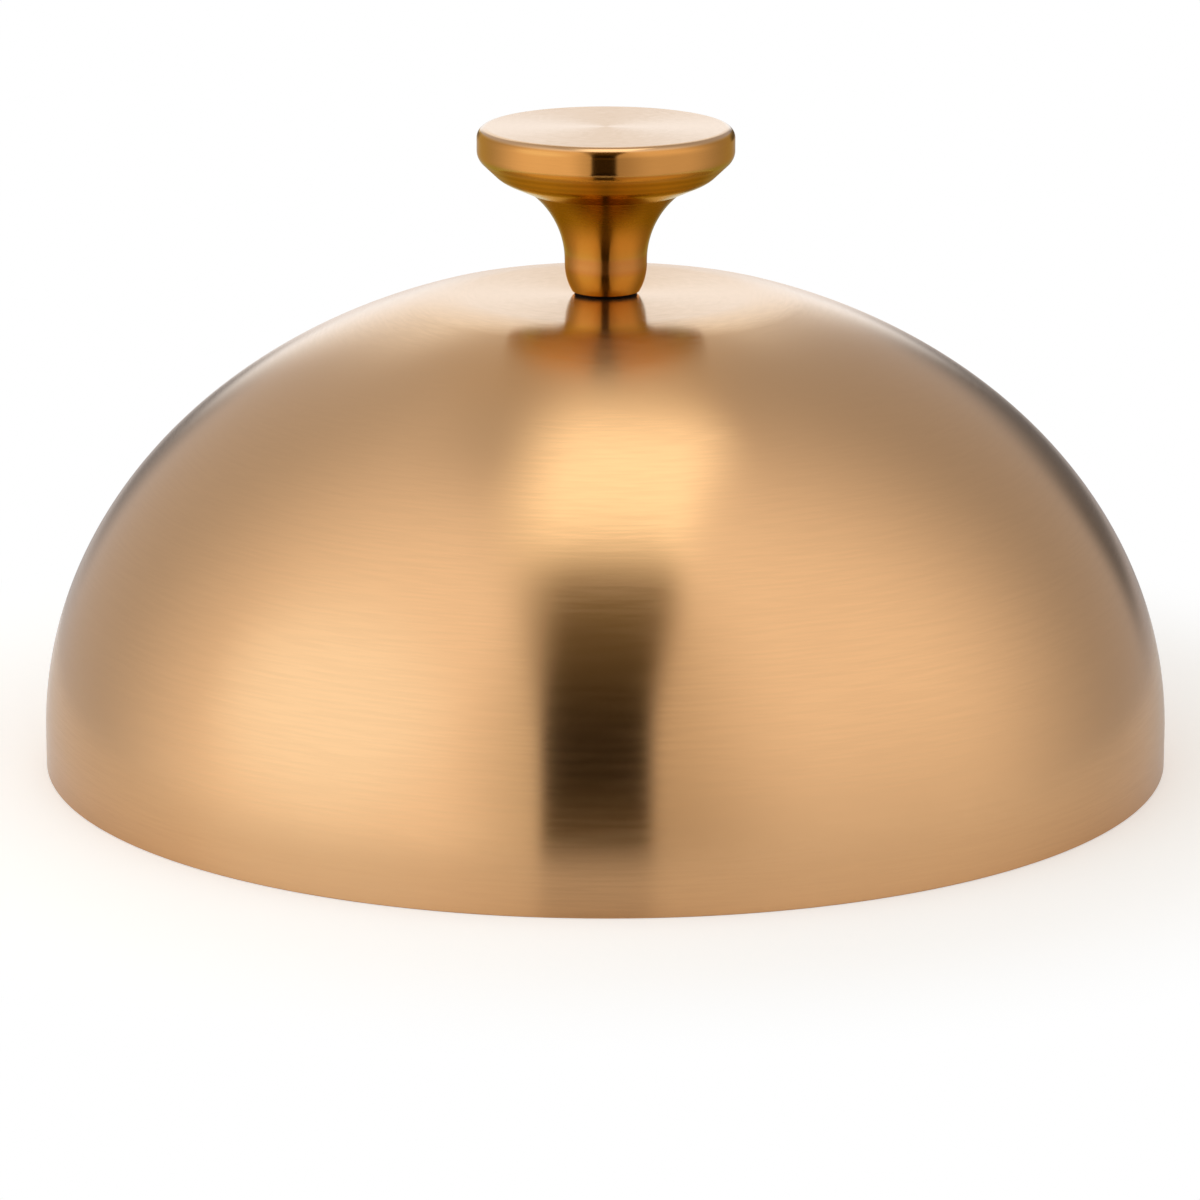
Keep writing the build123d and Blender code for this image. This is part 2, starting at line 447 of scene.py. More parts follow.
def blend(tree, factor, first, second, blend_type="MIX"):
    """Colour between two colours, or their product."""
    inputs = {0: factor, 6: first, 7: second}
    return add_node(tree, "ShaderNodeMix", inputs, data_type="RGBA", blend_type=blend_type).outputs[2]


def opaque(rgb, share=1.0):
    """A colour with its alpha, times a share of its brightness."""
    return (rgb[0] * share, rgb[1] * share, rgb[2] * share, 1.0)


def own_place(tree):
    """Place on the piece, in metres."""
    return add_node(tree, "ShaderNodeTexCoord").outputs["Object"]


def new_material(name):
    """Empty node material, with its tree and its Principled shader."""
    material = bpy.data.materials.new(name)
    material.use_nodes = True
    tree = material.node_tree
    tree.nodes.clear()
    shader = add_node(tree, "ShaderNodeBsdfPrincipled")
    add_node(tree, "ShaderNodeOutputMaterial", {"Surface": shader.outputs["BSDF"]})
    return material, tree, shader


def lines_round(tree, line, streak):
    """Fine lines round the axis: noise that changes fast along the outline and slowly round the ring.

    The noise is read at (cos a, sin a) / streak, with the distance along the outline / line as its
    third place.
    """
    level_place = add_node(
        tree, "ShaderNodeVectorMath", {0: own_place(tree), 1: (1.0, 1.0, 0.0)}, operation="MULTIPLY"
    )
    ring = add_node(tree, "ShaderNodeVectorMath", {0: level_place.outputs[0]}, operation="NORMALIZE")
    scaled = {0: ring.outputs[0], "Scale": 1 / streak}
    ring = add_node(tree, "ShaderNodeVectorMath", scaled, operation="SCALE")
    arcs = add_node(tree, "ShaderNodeAttribute", attribute_name="arc").outputs["Fac"]
    rise = add_node(tree, "ShaderNodeCombineXYZ", {"Z": maths(tree, "DIVIDE", arcs, line)})
    where = add_node(tree, "ShaderNodeVectorMath", {0: ring.outputs[0], 1: rise.outputs[0]}, operation="ADD")
    noise = add_node(tree, "ShaderNodeTexNoise", {"Vector": where.outputs[0], "Scale": 1.0, "Detail": 3.0})
    return noise.outputs["Fac"]


def turned_metal(name, rgb, roughness, anisotropy, line, streak, contrast, relief):
    """Metal worked round the axis, with fine lines in its colour, roughness and relief.

    The lines stretch highlights across themselves, so the tangent runs round the axis and is turned
    a quarter. Most of the noise lies between 0.3 and 0.7, and the roughness follows it by 8 percent.
    """
    material, tree, shader = new_material(name)
    lines = lines_round(tree, line, streak)
    shade = between(tree, lines, 0.3, 0.7)
    tint = blend(tree, shade, opaque(rgb, 1.0 - contrast), opaque(rgb, 1.0 + contrast))
    rough = between(tree, lines, 0.3, 0.7, roughness * 1.08, roughness * 0.92)
    bump = add_node(tree, "ShaderNodeBump", {"Height": lines, "Distance": relief, "Strength": 1.0})
    tangent = add_node(tree, "ShaderNodeTangent", direction_type="RADIAL", axis="Z")
    tree.links.new(tint, shader.inputs["Base Color"])
    tree.links.new(rough, shader.inputs["Roughness"])
    tree.links.new(bump.outputs["Normal"], shader.inputs["Normal"])
    tree.links.new(tangent.outputs["Tangent"], shader.inputs["Tangent"])
    shader.inputs["Metallic"].default_value = 1.0
    shader.inputs["Anisotropic"].default_value = anisotropy
    shader.inputs["Anisotropic Rotation"].default_value = 0.25
    return material


def brushed_gold():
    """Dome's finish: satin gold, brushed round the axis."""
    return turned_metal(
        "brushed_gold",
        settings().finishes.brushed_gold,
        roughness=0.19,
        anisotropy=0.915,
        line=0.00045,
        streak=0.12,
        contrast=0.014,
        relief=2.3e-6,
    )


def smooth_gold():
    """Finish of the rounding at the cap's top: the dome's colour, hardly brushed."""
    return turned_metal(
        "smooth_gold",
        settings().finishes.brushed_gold,
        roughness=0.12,
        anisotropy=0.5,
        line=0.00015,
        streak=0.3,
        contrast=0.02,
        relief=2e-7,
    )


def plain_steel():
    """Bare steel of the screw, the washers and the bush."""
    return turned_metal(
        "plain_steel",
        settings().finishes.steel,
        roughness=0.34,
        anisotropy=0.5,
        line=0.00012,
        streak=0.3,
        contrast=0.12,
        relief=1e-6,
    )


def mouth(sizes):
    """Radius and height of the mouth's edge, under the cap."""
    radius = sizes.cap_radius - sizes.cone_width - sizes.dish_width
    return radius, sizes.cap_top - sizes.cap_side - sizes.cone_height - sizes.dish_height


# Finishes of the cap's top edge, by the depth below its flat top as a share of its rounding
TINT_SHARE = 0.45
SMOOTH_SHARE = 0.25
BRUSHED_SHARE = 0.03


def polished_gold():
    """Knob's finish: smoother gold with faint turning lines, darker under the cap and on the stem, partly its
    own tone and partly painted shade.

    The colour goes with the height: foot and waist, then flare and dish, cone, bend and band, and the
    dome's gold at the top edge. The cone is dull and has turning rings, as a cosine of the height.
    """
    finishes, knob = settings().finishes, settings().knob
    material = turned_metal(
        "polished_gold",
        WHITE,
        roughness=0.14,
        anisotropy=0.80,
        line=0.00015,
        streak=0.3,
        contrast=0.02,
        relief=2e-7,
    )
    tree = material.node_tree
    shader = first_node(tree, "ShaderNodeBsdfPrincipled")
    height = add_node(tree, "ShaderNodeSeparateXYZ", {0: own_place(tree)}).outputs["Z"]
    band = knob.cap_top - knob.cap_side
    knee = band - knob.cone_height
    waist = knob.foot + knob.foot_height
    edge = mouth(knob)[1]
    tint_start = knob.cap_top - knob.cap_edge * TINT_SHARE
    tint_end = knob.cap_top - knob.cap_edge * SMOOTH_SHARE

    # Golds from the foot upwards, each with the heights between which it sets in. Below the band they are
    # painted shade and painted reflection of the hollow under the cap, over the pieces' own tone; the dome's
    # gold at the top edge is the real finish.
    narrow = product(
        tree,
        between(tree, height, waist - 0.0016, waist - 0.0002),
        between(tree, height, waist + 0.0025, waist + 0.0013),
    )
    # Painted shade: from here up, the stem's flare takes the darkest gold, which stands in for the shade
    # under the cap
    flare = between(tree, height, waist + 0.0041, waist + 0.0094)
    tone = blend(tree, narrow, opaque(finishes.stem_gold), opaque(finishes.waist_gold))
    tone = blend(tree, flare, tone, opaque(finishes.painted_shade_gold))
    for start, end, gold in (
        (edge - 0.0003, edge + 0.0003, finishes.dish_gold),
        (knee - 0.0002, knee + 0.0008, finishes.cone_gold),
        (band - 0.0014, band - 0.0005, finishes.bend_gold),
        (band - 0.0002, band + 0.0008, finishes.polished_gold),
        (tint_start, tint_end, finishes.brushed_gold),
    ):
        tone = blend(tree, between(tree, height, start, end), tone, opaque(gold))

    # Turning rings, a tenth lighter and darker than the cone
    cone = product(
        tree, between(tree, height, knee, knee + 0.001), between(tree, height, band, band - 0.001)
    )
    above = maths(tree, "SUBTRACT", height, knee + knob.ring_start)
    rings = maths(tree, "COSINE", product(tree, above, 2 * math.pi / knob.ring_pitch))
    rings = maths(tree, "MULTIPLY_ADD", product(tree, rings, cone), 0.10, 1.0)
    tone = add_node(tree, "ShaderNodeVectorMath", {0: tone, "Scale": rings}, operation="SCALE").outputs[0]
    lines = shader.inputs["Base Color"].links[0].from_socket
    tree.links.new(blend(tree, 1.0, lines, tone, "MULTIPLY"), shader.inputs["Base Color"])

    # Places that are rougher than the rest, and by how much
    rough = shader.inputs["Roughness"].links[0].from_socket
    below_mouth = product(tree, flare, between(tree, height, edge + 0.0003, edge - 0.0003))
    for place, extra in ((cone, 0.26), (narrow, 0.12), (below_mouth, 0.14)):
        rough = maths(tree, "MULTIPLY_ADD", place, extra, rough)
    tree.links.new(rough, shader.inputs["Roughness"])
    shader.inputs["Specular Tint"].default_value = opaque(finishes.grazing_gold)
    return material


def black_rubber():
    """Gasket's finish: dull black with a fine grain."""
    material, tree, shader = new_material("black_rubber")
    rgb = settings().finishes.rubber
    speckle = {"Vector": own_place(tree), "Scale": 6000.0, "Detail": 2.0}
    grain = add_node(tree, "ShaderNodeTexNoise", speckle).outputs["Fac"]
    tint = blend(tree, grain, opaque(rgb, 0.6), opaque(rgb, 1.6))
    bump = add_node(tree, "ShaderNodeBump", {"Height": grain, "Distance": 2e-5, "Strength": 0.5})
    tree.links.new(tint, shader.inputs["Base Color"])
    tree.links.new(between(tree, grain, 0.0, 1.0, 0.6, 0.8), shader.inputs["Roughness"])
    tree.links.new(bump.outputs["Normal"], shader.inputs["Normal"])
    shader.inputs["Specular IOR Level"].default_value = 0.1
    return material


def dome_side(sizes, depth, points):
    """Dome's outline from the skirt up to the crown's flat, at a depth in the wall.

    The side is an ellipse, and a circle that touches it from within and touches the crown's plane
    blends them: the circle's centre lies on the ellipse's inner parallel, one blend below the plane.
    It is searched for where the ellipse's angle is between 20 and 89 degrees.
    """
    radius = sizes.rim_radius - depth
    crown = sizes.height - depth
    blend_radius = sizes.crown_blend - depth
    crown_share = sizes.crown_radius / sizes.rim_radius
    full_height = (sizes.height - sizes.skirt) / math.sqrt(1 - crown_share**2) - depth
    turn = np.radians(np.linspace(20.0, 89.0, 2000))
    side = np.column_stack((radius * np.cos(turn), sizes.skirt + full_height * np.sin(turn)))
    normal = unit(np.column_stack((np.cos(turn) / radius, np.sin(turn) / full_height)))
    centres = side - blend_radius * normal
    stop = np.interp(crown - blend_radius, centres[:, 1], turn)
    centre = np.array((np.interp(stop, turn, centres[:, 0]), crown - blend_radius))
    lean = math.degrees(math.atan2(math.sin(stop) / full_height, math.cos(stop) / radius))
    ellipse = arc((0.0, sizes.skirt), (radius, full_height), 0.0, math.degrees(stop), points)
    return joined(ellipse, arc(centre, blend_radius, lean, 90.0, points // 4))


class MELTING_DOME_OT_dome(bpy.types.Operator):
    """Add the drawn dome: its side, crown, hole, inside and rounded rim"""

    bl_idname = "melting_dome.dome"
    bl_label = "Dome"

    def execute(self, context):
        sizes = settings().dome
        edge = sizes.rim_edge
        inner = sizes.rim_radius - sizes.wall
        outline = joined(
            arc((sizes.rim_radius - edge, edge), edge, -90.0, 0.0, points=7),
            dome_side(sizes, 0.0, points=112),
            [(sizes.hole, sizes.height), (sizes.hole, sizes.height - sizes.wall)],
            dome_side(sizes, sizes.wall, points=72)[::-1],
            arc((inner + edge, edge), edge, 180.0, 270.0, points=7),
        )
        piece = turned("dome", outline, sizes.segments)
        stands_for(piece, "dome_shell", "brushed_gold", brushed_gold())
        return {"FINISHED"}


def dish_inside(sizes, radius):
    """Place on the dish's inner face at a radius: one wall above the outer face, square to it."""
    slope = sizes.dish_height / sizes.dish_width
    mouth_radius, mouth_height = mouth(sizes)
    return radius, mouth_height + (radius - mouth_radius) * slope + sizes.wall * math.hypot(1.0, slope)


class MELTING_DOME_OT_knob_cap(bpy.types.Operator):
    """Add the hollow cap of the knob: flat top, upright band, cone, and a dish with a round mouth"""

    bl_idname = "melting_dome.knob_cap"
    bl_label = "Knob Cap"

    def execute(self, context):
        sizes = settings().knob
        top, wall, radius = sizes.cap_top, sizes.wall, sizes.cap_radius
        band = top - sizes.cap_side
        knee = (radius - sizes.cone_width, band - sizes.cone_height)
        outside = np.array((mouth(sizes), knee, (radius, band), (radius, top), (0.0, top)))
        inside = inset(outside, wall)
        inside[0] = dish_inside(sizes, mouth(sizes)[0])
        bends = np.array((sizes.cone_blend, sizes.cap_corner, sizes.cap_edge))
        bends = (0.0, *(bends[::-1] - wall), sizes.edge, sizes.edge, *bends, 0.0)
        outline = rounded(np.vstack((inside[::-1], outside)), bends, points=16)
        share = (top - outline[1:, 1]) / sizes.cap_edge
        share[: len(share) // 2] = 1.0  # the inside is polished all over
        finish = np.digitize(-share, (-SMOOTH_SHARE, -BRUSHED_SHARE))
        piece = turned("knob_cap_skin", outline, sizes.segments, closed=False, finish=finish)
        stands_for(piece, "knob_cap", "polished_gold", polished_gold(), smooth_gold(), brushed_gold())
        return {"FINISHED"}


class MELTING_DOME_OT_knob_stem(bpy.types.Operator):
    """Add the flared stem of the knob: pierced foot, waist, flare, neck and the flange inside the cap"""

    bl_idname = "melting_dome.knob_stem"
    bl_label = "Knob Stem"

    def execute(self, context):
        sizes = settings().knob
        mouth_radius, mouth_height = mouth(sizes)
        neck = mouth_radius - sizes.neck_clearance
        waist = (sizes.waist_radius, sizes.foot + sizes.foot_height)
        flare = (sizes.waist_radius, waist[1] + sizes.waist_height)
        foot = (sizes.foot_radius, sizes.foot)
        hole = settings().fixing.shank + settings().fixing.hole_clearance
        sheet = joined(
            [(hole, sizes.foot)],
            upright_arc(waist, foot, points=24)[::-1],
            upright_arc(flare, (neck, mouth_height), points=48),
            [dish_inside(sizes, neck), dish_inside(sizes, sizes.flange)],
        )
        inside = sheet - sizes.wall * outward(sheet, closed=False)
        outline = bevelled(joined(sheet, inside[::-1]), sizes.edge)
        piece = turned("knob_stem_skin", outline, sizes.segments)
        stands_for(piece, "knob_stem", "polished_gold", polished_gold())
        return {"FINISHED"}


def thread(sizes, turn, height):
    """Radius of the screw's thread: it rises and falls between root and crest once a pitch, along a helix.

    Root and crest are flat, each over a tenth of the pitch.
    """
    phase = height / sizes.pitch - turn / (2 * math.pi)
    ridge = np.abs(2 * (phase - np.floor(phase)) - 1)
    return sizes.shank - sizes.thread * np.clip(1.25 * ridge - 0.125, 0.0, 1.0)


def recess(sizes, x, y):
    """Depth of the cross recess: two crossed slots whose walls slope down to a flat bottom."""
    span, width = sizes.recess_span / 2, sizes.recess_width / 2
    one = np.minimum(span - np.abs(x), width - np.abs(y))
    other = np.minimum(span - np.abs(y), width - np.abs(x))
    return sizes.recess_depth * np.clip(np.maximum(one, other) / sizes.recess_wall, 0.0, 1.0)


class MELTING_DOME_OT_fixing(bpy.types.Operator):
    """Add the gasket under the knob, the bush in its foot, the two washers and the screw inside the dome"""

    bl_idname = "melting_dome.fixing"
    bl_label = "Gasket, Bush, Washers and Screw"

    def execute(self, context):
        sizes = settings().fixing
        steel = plain_steel()
        hole = sizes.shank + sizes.hole_clearance
        bore = sizes.shank + sizes.washer_clearance
        self.ring("gasket", GASKET, hole, "knob_gasket", "black_rubber", black_rubber())
        self.ring("washer", FLAT_WASHER, bore, "flat_washer", "plain_steel", steel)
        self.spring_washer(bore, steel)
        self.bush(steel)
        self.screw(steel)
        return {"FINISHED"}

    def ring(self, name, box, bore, node, slot, material):
        """Flat ring with rounded edges, in the node's box."""
        sizes = settings().fixing
        low, high, radius = box[LOW][HEIGHT], box[HIGH][HEIGHT], box[HIGH][RADIUS]
        outline = rounded([(bore, low), (radius, low), (radius, high), (bore, high)], sizes.edge)
        stands_for(turned(name, outline, sizes.segments), node, slot, material)

    def spring_washer(self, bore, steel):
        """Ring cut by a slanted gap: the outline goes round from one side of the gap to the other.

        The gap cuts the box short at its right, so the radius is read from the box's depth.
        """
        sizes = settings().fixing
        low, high = SPRING_WASHER[LOW][HEIGHT], SPRING_WASHER[HIGH][HEIGHT]
        radius = SPRING_WASHER[HIGH][DEPTH]
        outline = rounded([(bore, low), (radius, low), (radius, high), (bore, high)], sizes.edge)
        r, z = outline[:, :1], outline[:, 1:]
        share = np.linspace(0.0, 1.0, sizes.segments)
        slant = ((low + high) / 2 - z) * math.tan(sizes.split_angle) / r
        half_gap = sizes.split / 2 / math.cos(sizes.split_angle) / r
        grid = round_axis(r, slant + half_gap + share * (2 * math.pi - 2 * half_gap), z)
        rows, columns = grid.shape[:2]
        index = np.arange(rows * columns).reshape(rows, columns)
        ahead = np.roll(index, -1, axis=0)
        quads = np.stack((index[:, :-1], index[:, 1:], ahead[:, 1:], ahead[:, :-1]), axis=-1)
        ends = [index[::-1, 0].tolist(), index[:, -1].tolist()]
        mesh = bpy.data.meshes.new("spring_washer_skin")
        mesh.from_pydata(grid.reshape(-1, 3), [], quads.reshape(-1, 4).tolist() + ends)
        store_arc(mesh, np.repeat(distances(outline), columns))
        mesh.shade_smooth()
        mesh.set_sharp_from_angle(angle=math.radians(40.0))
        piece = add_object("spring_washer_skin", mesh)
        stands_for(piece, "spring_washer", "plain_steel", steel)

    def bush(self, steel):
        """Bush that fills the stem's foot, with the screw's thread cut in its bore."""
        sizes, knob = settings().fixing, settings().knob
        bore_rows, columns = 120, 96
        low, high, radius = BUSH[LOW][HEIGHT], BUSH[HIGH][HEIGHT], BUSH[HIGH][RADIUS]
        waist = knob.foot + knob.foot_height
        bore = sizes.shank + sizes.thread_clearance
        side = upright_arc((knob.waist_radius, waist), (knob.foot_radius, knob.foot), points=24)
        side = joined(side - knob.wall * outward(side[::-1], closed=False)[::-1])
        side = side[side[:, 1] > low][::-1]
        outline = joined(
            [(bore, low), (side[0, 0], low)],
            side,
            [(radius, high - sizes.edge), (radius - sizes.edge, high)],
            np.column_stack((np.full(bore_rows, bore), np.linspace(high, low, bore_rows))),
        )
        turn = full_turn(columns)
        r = np.repeat(outline[:, :1], columns, axis=1)
        z = np.repeat(outline[:, 1:], columns, axis=1)
        in_bore = np.arange(len(outline)) > len(outline) - bore_rows
        cut = thread(sizes, turn[None, :], z) + sizes.thread_clearance
        r = np.where(in_bore[:, None], cut, r)
        piece = skin("bush", round_axis(r, turn, z), None, distances(outline))
        piece.data.set_sharp_from_angle(angle=math.radians(35.0))
        stands_for(piece, "knob_insert", "plain_steel", steel)

    def screw(self, steel):
        """Pan head with a cross recess, and a shank with a helical thread and a chamfered tip."""
        sizes = settings().fixing
        shank_rows, columns = 190, 192
        tip, radius = SCREW[HIGH][HEIGHT], SCREW[HIGH][RADIUS]
        seat = SPRING_WASHER[LOW][HEIGHT]
        bottom = seat - sizes.head_height
        crown = (radius, sizes.head_height - sizes.head_side)
        shank_heights = np.linspace(seat, tip - sizes.tip, shank_rows)
        outline = joined(
            arc((0.0, seat - sizes.head_side), crown, -90.0, 0.0, points=90),
            [(radius, seat - sizes.edge), (radius - sizes.edge, seat)],
            np.column_stack((np.full(shank_rows, sizes.shank), shank_heights)),
            [(sizes.shank - sizes.tip, tip), (0.0, tip)],
        )
        turn = full_turn(columns)
        r = np.repeat(outline[:, :1], columns, axis=1)
        z = np.repeat(outline[:, 1:], columns, axis=1)
        threaded = (outline[:, 0] == sizes.shank) & (outline[:, 1] > seat + sizes.pitch)
        r = np.where(threaded[:, None], thread(sizes, turn[None, :], z), r)
        in_head = (z < seat - sizes.head_side + 1e-9) & (r < sizes.recess_span)
        floor = np.maximum(z, bottom + recess(sizes, r * np.cos(turn), r * np.sin(turn)))
        z = np.where(in_head, floor, z)
        piece = skin("screw", round_axis(r, turn, z), None, distances(outline), closed=False)
        piece.data.set_sharp_from_angle(angle=math.radians(35.0))
        stands_for(piece, "fixing_screw", "plain_steel", steel)


# The light tent reads a direction of length 1: x to the right, y away from the camera, z up.
# Each pair of numbers in it is a range in which one light gives way to the next.
LAMP_WAY = (-0.83, -0.44, 0.34)
WALL_DEPTH = (0.65, -0.3)  # y, from a wall's far end to its near end
LEFT_LEVEL = 0.64  # least level part of a direction, for the left wall
LEFT_FLANK, RIGHT_FLANK = 0.32, 0.29  # dark streaks at the walls' far ends, as shares of their light


def tent_walls(tree, stage, way, x, y, z):
    """Light of the two walls: full near the camera, less next to the opening and at the far end.

    Across, x is divided by the level part of the direction, which has a least value for the left wall.
    A lamp behind that wall shows as a soft spot, and each wall's far end has a dark streak.
    """
    level_part = maths(tree, "SQRT", maths(tree, "SUBTRACT", 1.001, product(tree, z, z)))
    depth = between(tree, y, *WALL_DEPTH)

    # Left wall, shaded near the roof
    across = maths(tree, "DIVIDE", x, maths(tree, "MAXIMUM", level_part, LEFT_LEVEL))
    left = blend(tree, between(tree, across, -0.22, -0.6), opaque(stage.left_near), opaque(stage.left))
    left = blend(tree, depth, opaque(stage.left_far), left)
    shade = product(
        tree,
        between(tree, across, -0.9, -0.3),
        between(tree, z, 0.8, 0.95),
        between(tree, y, -0.1, 0.3, 0.09, 0.28),
    )
    left = blend(tree, shade, left, BLACK)
    lamp = add_node(tree, "ShaderNodeVectorMath", {0: way, 1: LAMP_WAY}, operation="DOT_PRODUCT")
    left = blend(tree, between(tree, lamp.outputs["Value"], 0.84, 1.0), left, opaque(stage.lamp))

    # Right wall, shaded near the horizon
    across = maths(tree, "DIVIDE", x, level_part)
    right = blend(tree, between(tree, across, 0.17, 0.75), opaque(stage.right_near), opaque(stage.right))
    right = blend(tree, between(tree, z, 0.5, -0.2, 0.0, 0.25), right, BLACK)
    right = blend(tree, depth, opaque(stage.right_far), right)

    # Both walls with their dark streaks, the right one's reaching nearer
    side = between(tree, x, -0.05, 0.05)
    walls = blend(tree, side, left, right)
    flank = blend(tree, side, opaque(stage.left_far, LEFT_FLANK), opaque(stage.right_far, RIGHT_FLANK))
    reach = spread(tree, side, 0.88, 0.80)
    streak = product(
        tree,
        between(tree, z, 0.27, 0.02),
        between(tree, z, -0.135, -0.075),
        between(tree, y, reach, maths(tree, "ADD", reach, 0.10)),
        between(tree, maths(tree, "ABSOLUTE", x), 0.07, 0.17),
    )
    return blend(tree, streak, walls, flank)


def tent_strip(tree, stage, along):
    """Light of the open strip, by the angle along it: 0 at the camera's horizon, 90 overhead, 180 behind."""
    strip = opaque(stage.opening)
    for start, end, light in (
        (24.0, 66.0, stage.opening_high),
        (12.0, -4.0, stage.opening_low),
        (-5.0, -9.0, stage.opening),
        (68.5, 77.0, stage.roof),
        (106.0, 118.0, stage.gap),
        (138.0, 150.0, stage.backdrop),
        (-120.0, -150.0, stage.behind),
    ):
        strip = blend(tree, between(tree, along, start, end), strip, opaque(light))
    return strip


def strip_share(tree, x, y, z, along):
    """How far a direction lies in the strip and not in the walls, from 0 to 1.

    On the camera's side the strip's edges drift to the right on the way up and get softer, and overhead
    the left one steps out again. Behind, they are upright, and closer together below the backdrop.
    """
    drift = maths(tree, "SUBTRACT", x, between(tree, y, -0.25, 0.4, 0.0, 0.055))
    right = maths(tree, "SUBTRACT", drift, between(tree, z, 0.45, 1.0, 0.0, 0.06))
    left = maths(tree, "SUBTRACT", drift, between(tree, z, 0.7, 1.0, 0.0, 0.025))
    overhead = product(tree, between(tree, along, 101.0, 95.0), between(tree, along, 69.0, 75.0))
    left = maths(tree, "MULTIPLY_ADD", overhead, 0.037, left)
    soft = between(tree, z, 0.4, 0.9)
    front = product(
        tree,
        between(tree, left, spread(tree, soft, -0.235, -0.335), spread(tree, soft, -0.20, -0.10)),
        between(tree, right, spread(tree, soft, 0.185, 0.22), spread(tree, soft, 0.13, 0.10)),
    )
    narrowed = product(tree, x, between(tree, z, 0.05, -0.10, 1.0, 2.2))
    back = product(tree, between(tree, narrowed, -0.34, -0.18), between(tree, narrowed, 0.26, 0.13))
    far = between(tree, y, 0.3, 0.6)
    near = maths(tree, "SUBTRACT", 1.0, far)
    return maths(tree, "MULTIPLY_ADD", far, back, product(tree, near, front))


def light_tent(stage):
    """World of a light tent: a lit wall on each side and, between them, an open strip over the object.

    Right behind the object the floor is pale. The camera itself sees plain white, as the backdrop is.
    """
    world = bpy.data.worlds.new("light_tent")
    world.use_nodes = True
    tree = world.node_tree
    tree.nodes.clear()
    way = add_node(tree, "ShaderNodeTexCoord").outputs["Generated"]
    x, y, z = add_node(tree, "ShaderNodeSeparateXYZ", {0: way}).outputs
    along = maths(tree, "DEGREES", maths(tree, "ARCTAN2", z, product(tree, y, -1.0)))
    walls = tent_walls(tree, stage, way, x, y, z)
    light = blend(tree, strip_share(tree, x, y, z, along), walls, tent_strip(tree, stage, along))
    behind = product(
        tree,
        between(tree, y, 0.955, 0.975),
        between(tree, z, -0.06, -0.14),
        between(tree, maths(tree, "ABSOLUTE", x), 0.09, 0.03),
    )
    light = blend(tree, behind, light, opaque(stage.floor_far))
    tent = add_node(tree, "ShaderNodeBackground", {"Color": light})
    white = add_node(tree, "ShaderNodeBackground", {"Color": WHITE})
    seen = add_node(tree, "ShaderNodeLightPath").outputs["Is Camera Ray"]
    shown = add_node(tree, "ShaderNodeMixShader", {0: seen, 1: tent.outputs[0], 2: white.outputs[0]})
    add_node(tree, "ShaderNodeOutputWorld", {"Surface": shown.outputs[0]})
    return world


def floor_material(stage):
    """Pale floor that keeps the object's shadow, with painted light on its left side, and, for the camera,
    fades into the white at its edge.
    """
    material, tree, shader = new_material("pale_floor")
    place = own_place(tree)
    speckle = {"Vector": place, "Scale": 900.0, "Detail": 3.0}
    grain = add_node(tree, "ShaderNodeTexNoise", speckle).outputs["Fac"]
    tint = blend(tree, grain, opaque(stage.floor, 0.98), opaque(stage.floor, 1.02))
    aside = add_node(tree, "ShaderNodeSeparateXYZ", {0: place}).outputs["X"]
    # Painted light: the floor gets lighter towards the left, the lamp's side
    tint = blend(tree, between(tree, aside, 0.05, -0.12), tint, opaque(stage.floor_painted_light))
    tree.links.new(tint, shader.inputs["Base Color"])
    shader.inputs["Roughness"].default_value = 0.2
    away = add_node(tree, "ShaderNodeVectorMath", {0: place}, operation="LENGTH").outputs["Value"]
    fade = between(tree, away, stage.floor_radius * 0.7, stage.floor_radius)
    seen = add_node(tree, "ShaderNodeLightPath").outputs["Is Camera Ray"]
    tree.links.new(spread(tree, seen, 0.5, 0.0), shader.inputs["Specular IOR Level"])
    lift = add_node(tree, "ShaderNodeEmission", {"Strength": product(tree, seen, stage.floor_lift)})
    white = add_node(tree, "ShaderNodeEmission", {"Strength": 1.0})
    lit = add_node(tree, "ShaderNodeAddShader", {0: shader.outputs["BSDF"], 1: lift.outputs[0]})
    faded = {0: product(tree, fade, seen), 1: lit.outputs[0], 2: white.outputs[0]}
    shown = add_node(tree, "ShaderNodeMixShader", faded)
    tree.links.new(shown.outputs[0], first_node(tree, "ShaderNodeOutputMaterial").inputs["Surface"])
    return material


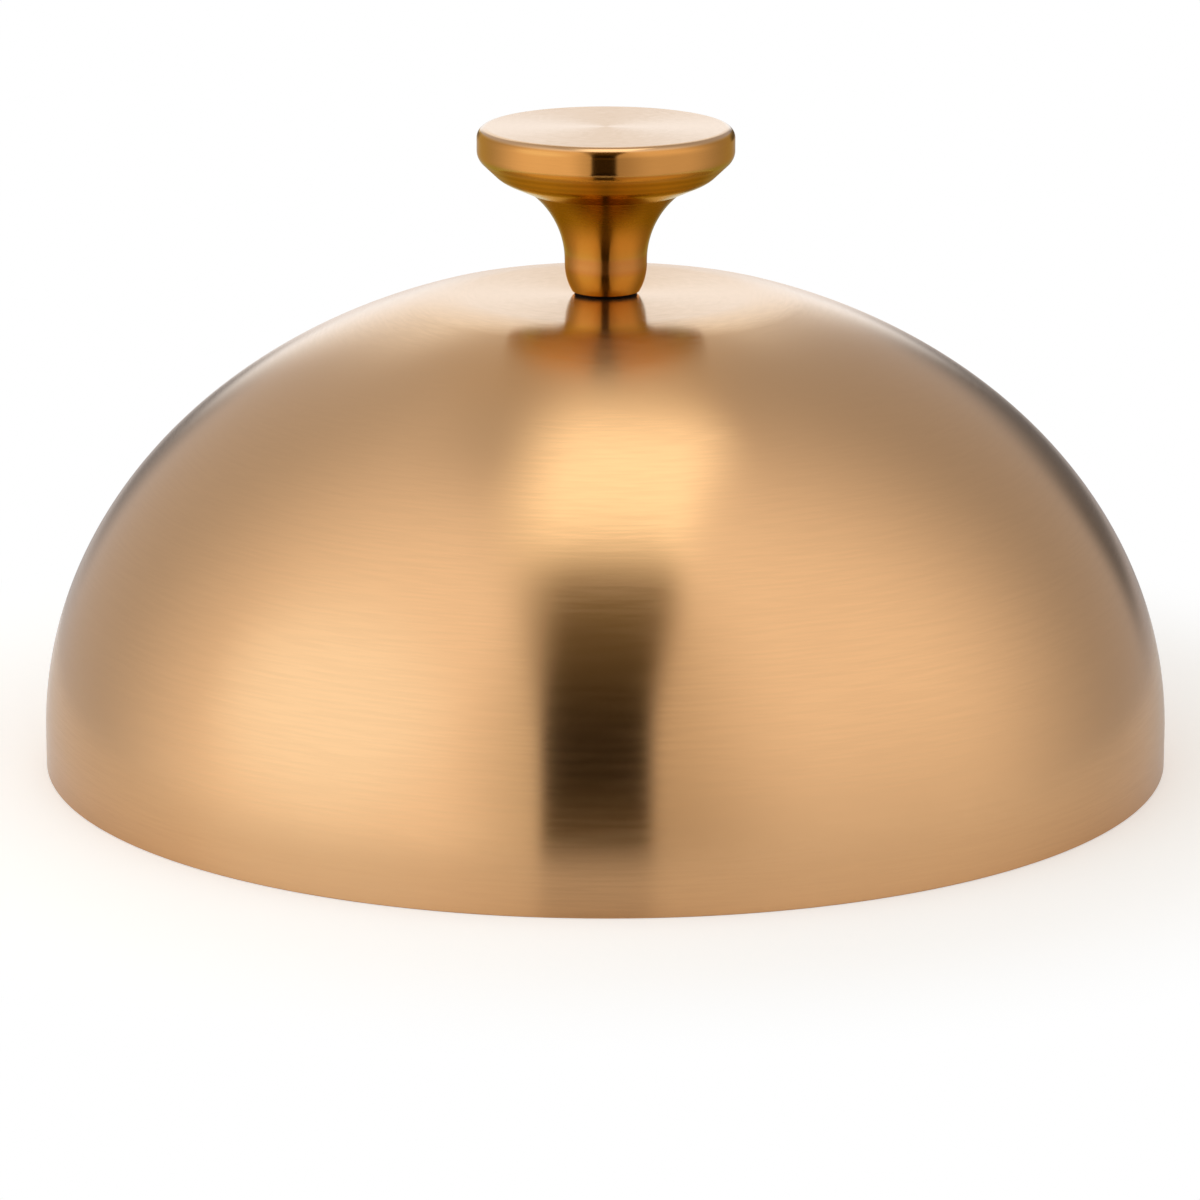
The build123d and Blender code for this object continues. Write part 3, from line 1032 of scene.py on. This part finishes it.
class MELTING_DOME_OT_stage(bpy.types.Operator):
    """Add the pale floor, the light tent and the camera"""

    bl_idname = "melting_dome.stage"
    bl_label = "Stage"

    def execute(self, context):
        stage = settings().stage
        self.floor(stage)
        context.scene.world = light_tent(stage)
        self.camera(stage)
        context.scene.view_settings.view_transform = "Standard"
        return {"FINISHED"}

    def floor(self, stage):
        """Round floor: a flat disc, whose points run round its edge."""
        edge = round_axis(stage.floor_radius, full_turn(192), CAD_BOX[LOW][HEIGHT])
        mesh = bpy.data.meshes.new("floor")
        mesh.from_pydata(edge, [], [list(range(len(edge)))])
        mesh.materials.append(floor_material(stage))
        add_object("floor", mesh)

    def camera(self, stage):
        """Camera in front of the dome and above it, tilted down to it."""
        data = bpy.data.cameras.new("camera")
        data.lens = stage.lens
        data.sensor_width = 36.0
        camera = add_object("camera", data)
        place = Matrix.Translation((-stage.aside, -stage.distance, stage.rise))
        tilt = Matrix.Rotation(math.pi / 2 - stage.pitch, 4, "X")
        camera.matrix_world = place @ tilt @ Matrix.Rotation(stage.roll, 4, "Z")
        bpy.context.scene.camera = camera


class MeltingDomeSettings(bpy.types.PropertyGroup):
    """Everything that a user would change."""

    dome: PointerProperty(type=DomeSizes)
    knob: PointerProperty(type=KnobSizes)
    fixing: PointerProperty(type=FixingSizes)
    finishes: PointerProperty(type=Finishes)
    stage: PointerProperty(type=StageLevels)


class MELTING_DOME_PT_panel(bpy.types.Panel):
    """Sidebar panel with the pieces, and with the sizes and colours in their groups"""

    bl_idname = "MELTING_DOME_PT_panel"
    bl_label = "Melting Dome"
    bl_space_type = "VIEW_3D"
    bl_region_type = "UI"
    bl_category = "Dome"

    def draw(self, context):
        for operator in OPERATORS:
            self.layout.operator(operator.bl_idname)
        for group in MeltingDomeSettings.__annotations__:
            box = self.layout.box()
            box.label(text=group.capitalize())
            values = getattr(context.scene.melting_dome, group)
            for name in values.__annotations__:
                box.prop(values, name)


OPERATORS = (
    MELTING_DOME_OT_dome,
    MELTING_DOME_OT_knob_cap,
    MELTING_DOME_OT_knob_stem,
    MELTING_DOME_OT_fixing,
    MELTING_DOME_OT_stage,
)
CLASSES = (
    DomeSizes,
    KnobSizes,
    FixingSizes,
    Finishes,
    StageLevels,
    MeltingDomeSettings,
    *OPERATORS,
    MELTING_DOME_PT_panel,
)


def register():
    """Registers the classes, and gives every scene the settings."""
    for cls in CLASSES:
        bpy.utils.register_class(cls)
    bpy.types.Scene.melting_dome = PointerProperty(type=MeltingDomeSettings)


def unregister():
    """Takes the settings and the classes away again."""
    del bpy.types.Scene.melting_dome
    for cls in reversed(CLASSES):
        bpy.utils.unregister_class(cls)


def main():
    """Builds the pieces in order."""
    register()
    bpy.ops.melting_dome.dome()
    bpy.ops.melting_dome.knob_cap()
    bpy.ops.melting_dome.knob_stem()
    bpy.ops.melting_dome.fixing()
    bpy.ops.melting_dome.stage()


if __name__ == "__main__":
    main()
